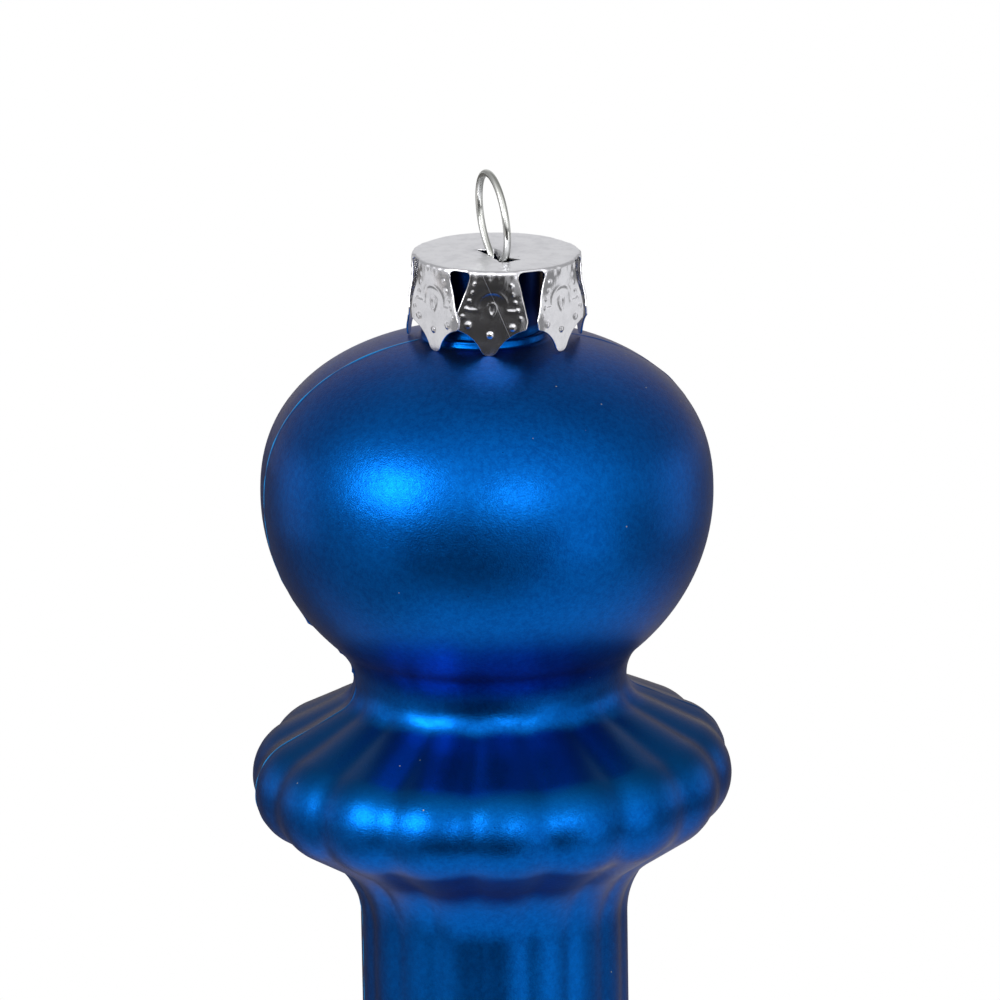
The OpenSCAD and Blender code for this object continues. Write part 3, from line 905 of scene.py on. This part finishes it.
    def relief(self, x: Array, d: Array) -> Array:
        """Height of the stamped pattern at a place on a petal.

        Each dot is a smooth step of the distance to its centre; the arch, the wings and the drop
        are bells of the distance to their lines.

        Args:
            x: distance to the right of the petal's middle.
            d: drop below the cap's top.

        Returns:
            Height above the plain petal.
        """
        high = np.zeros_like(x)
        beads = [(side * bead_x, bead_d, *self.bead) for bead_x, bead_d in self.beads for side in (-1, 1)]
        for cx, cd, rad, tall in (*beads, *self.studs):
            high = np.maximum(high, tall * smooth(1.25 - np.hypot(x - cx, d - cd) / rad / 1.2))
        arch = np.where(d < self.arch_d, np.abs(np.hypot(x, d - self.arch_d) - self.arch_r),
                        np.hypot(np.abs(x) - self.arch_r, np.maximum(d - self.arch_end, 0)))
        high = np.maximum(high, 0.055 * bell(arch, 0.24) * (1 - 0.35 * smooth(d - 3.2)))
        wing = np.hypot(np.maximum(np.abs(np.abs(x) - self.wing_x) - self.wing_half, 0), d - self.wing_d)
        high = np.maximum(high, 0.06 * bell(wing, 0.16))
        down = (d - self.drop_d) / self.drop_h
        wide = self.drop_half * (1 - self.drop_taper * down)
        drop = np.abs(np.hypot(x / np.maximum(wide, 0.1), down) - 1)
        return np.maximum(high, 0.075 * bell(drop, 0.32))

    def columns(self) -> tuple[Array, Array, Array]:
        """Columns of one sector, from a petal's left edge across the petal and over the gap to its right.

        Returns:
            Share across the petal from -1 to 1, share of the gap, and whether the column is in the gap.
        """
        across = np.linspace(-1, 1, self.cols + 1)
        wide = math.radians(360 / self.petals) * self.round_r - 2 * math.asin(
            self.half_width(np.array(0.0)) / self.round_r) * self.round_r
        steps = np.array(self.gap_steps)
        into = np.concatenate([steps, [wide / 2], wide - steps[::-1]]) / wide
        share = np.concatenate([across, np.ones(len(into))])
        return share, np.concatenate([np.zeros(len(across)), into]), np.arange(len(share)) >= len(across)

    def rings(self) -> Array:
        """Rings of the top from the slot's edge over the plate, the bend and the short skirt.

        Returns:
            Points, rings by columns by three, before the cap's lean.
        """
        share, into, in_gap = self.columns()
        step = 360 / self.petals
        wide = math.radians(step) * self.round_r
        turns, reach, drops = [], [], []
        sector = np.arange(self.petals) * step + np.array(self.shifts)
        spans = np.diff(np.append(sector, sector[0] + 360))[:, None]
        gap = wide - 2 * self.half_width(np.array(self.skirt))
        near = np.where(in_gap, np.minimum(into, 1 - into) * gap, 0)
        bend = self.bend + (self.gap_bend - self.bend) * smooth(near / 0.6)
        hem = self.gap_bend + 0.06
        round_off = self.skirt - hem
        over = np.maximum(round_off - near / self.gap_ease, 0)
        arch = round_off - np.sqrt(np.maximum(round_off ** 2 - over ** 2, 0))
        low = np.maximum(np.where(in_gap, hem + arch, self.skirt), bend + 0.04)
        for k in range(self.bend_rows + self.skirt_rows + 1):
            if k <= self.bend_rows:
                b = math.radians(90 * k / self.bend_rows)
                out, drop = bend * (math.sin(b) - 1), bend * (1 - math.cos(b))
            else:
                out = 0.0
                drop = bend + (k - self.bend_rows) / self.skirt_rows * (low - bend)
            half = np.degrees(np.arcsin(self.half_width(drop) / self.round_r))
            petal = np.degrees(np.arcsin(share * self.half_width(drop) / self.round_r))
            phi = np.where(in_gap, half + into * (spans - 2 * half), petal) + sector[:, None]
            inset = self.gap_in * smooth(near / self.gap_ease)
            turns.append(phi.ravel())
            reach.append(np.tile(self.round_r - inset + out, self.petals))
            drops.append(np.tile(np.broadcast_to(drop, share.shape), self.petals))
        turns, reach, drops = np.radians(np.array(turns) + self.turn), np.array(reach), np.array(drops)
        share_k = np.sin(np.linspace(0, math.pi, len(turns)))[:, None]
        crease = (np.sin(23 * turns) + np.sin(37 * turns + 1) + np.sin(59 * turns + 2)) / 3
        reach = reach + self.ripple * share_k * crease
        rim = np.stack([self.centre[0] + reach * np.sin(turns), -reach * np.cos(turns), -drops], -1)
        mouth = self.mouth(rim[0])
        part = (np.linspace(0, 1, self.plate_rows + 1)[:-1] ** 1.35)[:, None, None]
        plate = mouth[None] + part * (rim[0] - mouth)[None]
        plate = np.concatenate([self.flap(mouth), plate])
        return np.concatenate([plate, rim])

    def from_slot(self, points: Array) -> tuple[Array, Array]:
        """Places of points as seen from the slot's middle, and their directions from 0 to 360 degrees."""
        rel = points[:, :2] - np.array(self.slot_at)
        return rel, np.degrees(np.arctan2(rel[:, 1], rel[:, 0])) % 360

    def mouth(self, rim: Array) -> Array:
        """Edge of the slot in the direction of each point of the plate's rim.

        Args:
            rim: points of the rim.

        Returns:
            Points of the slot's edge.
        """
        _, turn = self.from_slot(rim)
        ends = np.array(self.slot_turns + (self.slot_turns[0] + 360,))
        fine = np.arange(0, 360, 0.5)
        reach = np.interp(fine, ends, np.array(self.slot_reach + self.slot_reach[:1]))
        soft = bell(np.arange(-6, 7), 2.4)
        reach = np.convolve(np.tile(reach, 3), soft / soft.sum(), "same")[len(fine):2 * len(fine)]
        r = np.interp(turn, np.append(fine, 360), np.append(reach, reach[0]))
        a = np.radians(turn)
        return np.stack([self.slot_at[0] + r * np.cos(a), self.slot_at[1] + r * np.sin(a), 0 * a], 1)

    def flap(self, mouth: Array) -> Array:
        """Rows of the sheet's edge below the slot: a torn flap at the back, a small burr elsewhere.

        Args:
            mouth: points of the slot's edge.

        Returns:
            Points, rows by columns by three, from the lowest row up.
        """
        rel, turn = self.from_slot(mouth)
        share = smooth((turn - 8) / 24) * (1 - 0.55 * smooth((turn - 80) / 20))
        share *= 1 - smooth((turn - 104) / 8)
        rad = np.hypot(*rel.T)
        rows = []
        for part in (1.0, 0.75, 0.5, 0.25, 0.08):
            r = rad - share * self.flap_lean * part * np.minimum(1, rad / 1.2) - 0.04 * part
            lower = -(share * self.flap_h * part ** 1.2 + 0.10 * part)
            rows.append(np.column_stack([rel * (r / rad)[:, None] + np.array(self.slot_at), lower]))
        return np.array(rows)

    def pressed(self, points: Array) -> Array:
        """Lowers the top by its dents: each is a depth times a bell of the distance to its centre.

        Args:
            points: points of the top.

        Returns:
            The points, lowered, but not near the rim.
        """
        x, y = points[..., 0], points[..., 1]
        level = np.zeros_like(x)
        for cx, cy, rad, deep in self.dents:
            level -= deep * bell(np.hypot(x - cx, y - cy), rad * 0.62)
        level += 0.035 * np.sin(x * 1.1 + 0.6 * np.sin(y * 0.9)) * np.sin(y * 0.8 + 1.0)
        level += 0.012 * np.sin(x * 3.1 + 1.7 * np.sin(y * 2.3)) * np.sin(y * 2.7 + 0.5)
        out = points.copy()
        out[..., 2] += level * (1 - smooth((np.hypot(x - self.centre[0], y) - 6.0) / 3.5))
        return out

    def petal(self, i: int, shell: Shell, share: Array) -> Array:
        """Rows of one petal from below the skirt to the nose, before the cap's lean.

        The petal follows the round top at its root and runs flat by its shoulders; its nose
        ends on the dome.

        Args:
            i: number of the petal, with 0 at the front.
            shell: the body that the nose stands on.
            share: places of the columns across the petal, from -1 to 1.

        Returns:
            Points, rows by columns by three.
        """
        turn = math.radians(self.turn + self.shifts[i] + 360 * i / self.petals)
        out, side = np.array([math.sin(turn), -math.cos(turn)]), np.array([math.cos(turn), math.sin(turn)])
        tip = np.array([self.centre[0], 0]) + out * (self.flat + self.bows[i] + self.kicks[i])
        lean = self.leaned(np.array([[*tip, -self.near_length]]))[0]
        drop = self.near_length + lean[2] - shell.dome_z(np.hypot(*lean[:2])) - self.clearance
        length = float(np.clip(drop, *self.lengths))
        edge = self.outline(length)[1:]
        d = np.repeat(edge[:, 1:2], len(share), 1)
        x = edge[:, 0:1] * share[None]
        past = d - self.skirt
        ease = past * smooth(past / 2.0)
        roundness = np.sqrt(self.round_r ** 2 - x ** 2) - self.flat
        away = self.flat + roundness * (1 - smooth(past / 3.0))
        away += self.bows[i] * smooth(past / 6.0) + self.kicks[i] * smooth((d - 6.5) / 3.0)
        away -= self.droop * smooth((np.abs(x) - 3.0) / 1.6) * smooth((d - 4.6) / 1.6)
        t = math.radians(self.twists[i])
        px, pd = x * math.cos(t) - (d - 5) * math.sin(t) * 0.5, d - x * math.sin(t)
        away += self.relief(px, pd) * smooth(past / 0.25)
        x = x + self.skews[i] * ease
        flat = np.array([self.centre[0], 0]) + away[..., None] * out + x[..., None] * side
        return np.concatenate([flat, -d[..., None]], -1)

    def leaned(self, points: Array) -> Array:
        """Leans the cap to the right and the front about its top's middle, and lifts it into place.

        Args:
            points: points with the top's middle at height 0.

        Returns:
            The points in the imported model's frame.
        """
        x, y, z = (points[..., k] - (self.centre[0] if k == 0 else 0) for k in range(3))
        r, f = math.radians(self.lean_right), math.radians(self.lean_front)
        x, z = x * math.cos(r) + z * math.sin(r), z * math.cos(r) - x * math.sin(r)
        y, z = y * math.cos(f) - z * math.sin(f), z * math.cos(f) + y * math.sin(f)
        return np.stack([x + self.centre[0], y, z + self.centre[2]], -1)

    def build(self, material: Material, shell: Shell) -> bpy.types.Object:
        """Builds the cap as one sheet: the ringed top, then each petal from its part of the skirt.

        Args:
            material: the sheet's finish.
            shell: the body that the petals stand on.

        Returns:
            The finished piece.
        """
        share, _, in_gap = self.columns()
        rings = self.pressed(self.rings())
        count, cols = rings.shape[:2]
        faces = ring_faces(count, cols, Way.AGAINST)
        points = [rings.reshape(-1, 3)]
        base = count * cols
        own = share[~in_gap]
        for i in range(self.petals):
            sheet = self.petal(i, shell, own)
            first = (count - 1) * cols + i * len(share) + np.arange(len(own))
            number = np.vstack([first, base + np.arange(sheet.shape[0] * len(own)).reshape(-1, len(own))])
            quads = np.stack([number[:-1, :-1], number[1:, :-1], number[1:, 1:], number[:-1, 1:]], -1)
            faces += quads.reshape(-1, 4).tolist()
            points.append(sheet.reshape(-1, 3))
            base += sheet.shape[0] * len(own)
        piece = make_piece("stamped_cap", self.leaned(np.vstack(points)), faces, material, "cap")
        thick = piece.modifiers.new("sheet", "SOLIDIFY")
        thick.thickness = self.sheet * MM
        thick.offset = -1.0
        return piece


@dataclass
class Hanger:
    """Bent wire: an oval loop, two legs through the slot, and springy tails with their ends hooked in."""

    wire: float = 0.86
    foot: Triple = (1.74, -1.1, -9.79)
    crown: Triple = (0.745, 0.0, 0.43)
    turn: float = 22.0
    pitch: float = 4.1
    half: float = 4.12
    rise: float = 5.35
    bore_z: float = -19.86
    bore_reach: float = 5.45
    tail: float = 11.0
    hook: float = 3.0
    hook_drop: float = 0.8
    bend_width: float = 2.6
    end_round: float = 0.86
    sides: int = 24
    step: float = 0.22

    def across(self) -> Array:
        """Direction from the loop's far leg to its near one."""
        a = math.radians(self.turn)
        return np.array([math.sin(a), -math.cos(a), 0])

    def loop(self) -> Array:
        """Centre line of the loop: two straight legs that run into an oval, seen in the loop's own plane.

        Returns:
            Points from the far leg over the crown to the near leg.
        """
        foot, up = np.array(self.foot), np.subtract(self.crown, self.foot)
        tall = np.linalg.norm(up)
        up = up / tall
        middle, squash = tall - self.rise, self.half / self.rise
        sides = []
        for s in (-1, 1):
            d = np.array([-s * self.pitch / 2, middle * squash])
            far = np.hypot(*d)
            aim = math.atan2(d[1], d[0]) - s * math.asin(self.half / far)
            reach = math.sqrt(far ** 2 - self.half ** 2)
            touch = np.array([s * self.pitch / 2 + reach * math.cos(aim), reach * math.sin(aim) / squash])
            turn = math.atan2((touch[1] - middle) * squash, touch[0]) % (2 * math.pi)
            turn = turn - 2 * math.pi if turn > 1.5 * math.pi else turn
            arc_turns = np.linspace(turn, math.pi / 2, 60)[1:]
            leg = np.linspace([s * self.pitch / 2, 0], touch, 50)
            bow = np.stack([self.half * np.cos(arc_turns), middle + self.rise * np.sin(arc_turns)], 1)
            sides.append(np.vstack([leg, bow]))
        flat = np.vstack([sides[0], sides[1][-2::-1]])
        return foot + flat[:, :1] * self.across() + flat[:, 1:] * up

    def build(self, material: Material) -> bpy.types.Object:
        """Builds the wire as a tube along its smoothed centre line, with closed ends.

        Args:
            material: the wire's finish.

        Returns:
            The finished piece.
        """
        loop, across = self.loop(), self.across()
        ends = []
        for s, leg in ((-1, loop[0]), (1, loop[-1])):
            graze = s * self.bore_reach * across + np.array([0, 0, self.bore_z])
            tail = graze + self.tail * (graze - leg) / np.linalg.norm(graze - leg)
            back = np.array([tail[0], tail[1], self.hook * self.hook_drop])
            ends.append(np.array([tail - self.hook * back / np.linalg.norm(back), tail]))
        path = np.vstack([ends[0], loop, ends[1][::-1]])
        run = np.append(0, np.cumsum(np.linalg.norm(np.diff(path, axis=0), axis=1)))
        even = np.linspace(0, run[-1], int(run[-1] / self.step))
        middle = np.stack([np.interp(even, run, path[:, k]) for k in range(3)], 1)
        soft = bell(np.arange(-5, 6), self.bend_width)
        soft /= soft.sum()
        middle[5:-5] = np.stack([np.convolve(middle[:, k], soft, "valid") for k in range(3)], 1)
        along = np.gradient(middle, axis=0)
        along /= np.linalg.norm(along, axis=1)[:, None]
        face = np.cross(across, np.subtract(self.crown, self.foot))
        face = face / np.linalg.norm(face)
        one = face - (along @ face)[:, None] * along
        one /= np.linalg.norm(one, axis=1)[:, None]
        two = np.cross(along, one)
        t = np.linspace(0, 2 * math.pi, self.sides, endpoint=False)
        cos, sin = np.cos(t)[None, :, None], np.sin(t)[None, :, None]
        rad = np.full((len(middle), 1, 1), self.wire / 2)
        rad[[0, -1]] *= self.end_round
        tube = middle[:, None] + rad * (cos * one[:, None] + sin * two[:, None])
        skin = np.vstack([tube.reshape(-1, 3), middle[:1], middle[-1:]])
        faces = tube_faces(len(middle), self.sides, Way.ALONG)
        place = [np.broadcast_to(v, tube.shape[:2])
                 for v in (self.wire / 2 * np.cos(t), self.wire / 2 * np.sin(t), even[:, None])]
        place = np.vstack([np.stack(place, -1).reshape(-1, 3), [[0, 0, 0], [0, 0, even[-1]]]]) * MM
        return make_piece("hanger_wire", skin, faces, material, "hanger", ("run", place))


@dataclass
class Studio:
    """Pale floor, soft lamps, cards and the camera at the photograph's viewing angle.

    A glow has an azimuth, an elevation, a power and a level; a lamp has a name, an azimuth, an
    elevation, a distance, a side and a level; a card has a name, a grey and four corners.
    """

    floor_z: float = -205.0
    floor_half: float = 3000.0
    floor_light_pool_greys: Pair = (0.95, 0.32)
    light_pool_fade: Pair = (250.0, 400.0)
    floor_whitens: Pair = (260.0, 360.0)
    white_behind: Pair = (1400.0, 2200.0)
    matt: float = 0.9
    gloss: float = 0.1
    world_level: float = 0.36
    glows: tuple[Quad, ...] = (
        (-52.0, 22.0, 9.0, 1.1), (22.0, 24.0, 4.0, 0.85), (-20.0, 60.0, 6.0, 0.35),
        (180.0, 15.0, 10.0, 0.42), (48.0, 12.0, 5.0, 0.32))
    lamps: tuple[tuple[str, float, float, float, float, float], ...] = (
        ("key", -50.0, 20.8, 700.0, 330.0, 6.8),
        ("fill", 14.5, 18.8, 800.0, 205.0, 5.2),
        ("bounce", 49.0, -20.0, 420.0, 220.0, 1.15),
        ("left_side", -104.0, -3.0, 160.0, 84.0, 0.46),
        ("right_side", 104.0, -3.0, 160.0, 84.0, 0.54))
    cards: tuple[tuple[str, float, tuple[Triple, ...]], ...] = (
        ("front_card", 0.03, ((-200, -185, -204), (-400, -480, -82), (110, -480, -82), (55, -185, -204))),
        ("lens_card", 0.02, ((-178, -482, -84), (-160, -482, -24), (-40, -482, -24), (-22, -482, -84))),
        ("left_card", 0.45, ((-125, 20, -204), (-440, 50, -110), (-290, -345, -110), (-96, -115, -204))),
        ("back_card", 0.16, ((-130, 70, -204), (-424, 225, -70), (-67, 475, -70), (-25, 150, -204))))
    aim: Triple = (0.0, 0.0, -38.0)
    camera_at: Triple = (1.53, 0.0, -39.3)
    distance: float = 950.0
    height: float = 14.8
    roll: float = 0.94
    sensor: float = 36.0
    lens: float = 288.0
    near: float = 10.0

    def direction(self, azimuth: float, elevation: float) -> Array:
        """Direction toward an azimuth, 0 at the viewer and growing to the right, and an elevation."""
        a, e = math.radians(azimuth), math.radians(elevation)
        return np.array([math.sin(a) * math.cos(e), -math.cos(a) * math.cos(e), math.sin(e)])

    def world(self) -> None:
        """Grey surroundings with a few broad soft glows.

        Each glow adds level * max(0, cos(angle to its centre)) ^ power to the even grey.
        """
        world = bpy.data.worlds.new("studio")
        kit = NodeKit(world, "Background", "Generated")
        total = self.world_level
        for azimuth, elevation, power, level in self.glows:
            toward = self.direction(azimuth, elevation).tolist()
            facing = kit.vector_maths("DOT_PRODUCT", kit.coords, toward)
            glow = kit.maths("POWER", kit.maths("MAXIMUM", facing, 0.0), power)
            total = kit.maths("MULTIPLY_ADD", glow, level, total)
        kit.set(Color=WHITE, Strength=total)
        bpy.context.scene.world = world

    def panel(self, name: str, corners: tuple[Triple, ...], material: Material) -> bpy.types.Object:
        """Makes a flat object from its four corners in millimetres.

        Args:
            name: the object's name.
            corners: its four corners.
            material: its material.

        Returns:
            The object.
        """
        mesh = bpy.data.meshes.new(name)
        mesh.from_pydata((np.array(corners) * MM).tolist(), [], [(0, 1, 2, 3)])
        mesh.materials.append(material)
        return add_object(name, mesh)

    def card(self, name: str, grey: float, corners: tuple[Triple, ...]) -> None:
        """Stands a dark card near the floor, which the camera doesn't see.

        Args:
            name: the card's name.
            grey: its colour, which is a little warm.
            corners: its four corners in millimetres.
        """
        material = bpy.data.materials.new(name)
        NodeKit(material).set(Base_Color=(grey, grey * 0.96, grey * 0.93, 1), Roughness=self.matt,
                              Specular_IOR_Level=self.gloss)
        card = self.panel(name, corners, material)
        card.visible_camera = False

    def lamp(self, name: str, azimuth: float, elevation: float, away: float, size: float,
             level: float) -> None:
        """Places a square soft lamp that faces the object.

        Args:
            name: the lamp's name.
            azimuth: degrees from the viewer, to the right.
            elevation: degrees above the object.
            away: distance in millimetres.
            size: side in millimetres.
            level: brightness of its face, where 1 is white.
        """
        data = bpy.data.lights.new(name, "AREA")
        data.shape = "SQUARE"
        data.size = size * MM
        data.energy = level * math.pi * (size * MM) ** 2
        lamp = add_object(name, data)
        out = self.direction(azimuth, elevation)
        lamp.location = (np.array(self.aim) + away * out) * MM
        lamp.rotation_mode = "QUATERNION"
        lamp.rotation_quaternion = Vector(out).to_track_quat("Z", "Y")
        lamp.visible_camera = False

    def floor(self) -> None:
        """Pale floor with a painted pool of light: grey farther from the origin, where the camera sees
        plain white.

        Reflections see it white far behind the object only.
        """
        material = bpy.data.materials.new("pale_floor")
        kit = NodeKit(material)
        ray = kit.add("LightPath", {}).outputs
        away = kit.vector_maths("LENGTH", kit.coords)
        pale, grey = ((level,) * 3 for level in self.floor_light_pool_greys)
        # Painted pool of light: the floor is pale near the object and fades to grey farther out.
        kit.set(Base_Color=kit.blend(kit.reach(away, *self.light_pool_fade), pale, grey), Roughness=self.matt,
                Specular_IOR_Level=self.gloss)
        seen = kit.maths("MULTIPLY", ray["Is Camera Ray"], kit.reach(away, *self.floor_whitens))
        bent = kit.maths("MAXIMUM", ray["Is Glossy Ray"], ray["Is Transmission Ray"])
        mirrored = kit.maths("MULTIPLY", bent, kit.along("Y", *self.white_behind))
        glow = kit.add("Emission", {}).outputs[0]
        white = kit.maths("MAXIMUM", seen, mirrored)
        mix = kit.add("MixShader", {0: white, 1: kit.shader.outputs[0], 2: glow})
        kit.feed(kit.tree.nodes["Material Output"].inputs["Surface"], mix.outputs[0])
        s, z = self.floor_half, self.floor_z
        floor = self.panel("floor", ((-s, -s, z), (s, -s, z), (s, s, z), (-s, s, z)), material)

    def camera(self) -> None:
        """Camera that looks at the axis from the photograph's height, turned by its small roll."""
        e, t = math.radians(self.height), math.radians(self.roll)
        back = np.array([0, -math.cos(e), math.sin(e)])
        level, upright = np.array([1.0, 0, 0]), np.array([0, math.sin(e), math.cos(e)])
        data = bpy.data.cameras.new("camera")
        data.sensor_width = self.sensor
        data.lens = self.lens
        data.clip_start = self.near * MM
        camera = add_object("camera", data)
        place = np.eye(4)
        place[:3, 0] = level * math.cos(t) - upright * math.sin(t)
        place[:3, 1] = level * math.sin(t) + upright * math.cos(t)
        place[:3, 2] = back
        place[:3, 3] = (np.array(self.camera_at) + self.distance * back) * MM
        camera.matrix_world = Matrix(place.tolist())
        bpy.context.scene.camera = camera

    def build(self) -> None:
        """Makes the camera, surroundings, floor, cards and lamps."""
        self.camera()
        self.world()
        self.floor()
        for values in self.cards:
            self.card(*values)
        for values in self.lamps:
            self.lamp(*values)
        bpy.context.scene.view_settings.view_transform = "Standard"


def main() -> None:
    """Builds the ornament and its studio."""
    logging.basicConfig(level=logging.INFO, format="%(name)s: %(message)s")
    Studio().build()
    shell = Shell()
    shell.build(SatinLacquer().material())
    Cap().build(StampedSheet().material(), shell)
    Hanger().build(DrawnWire().material())


if __name__ == "__main__":
    main()
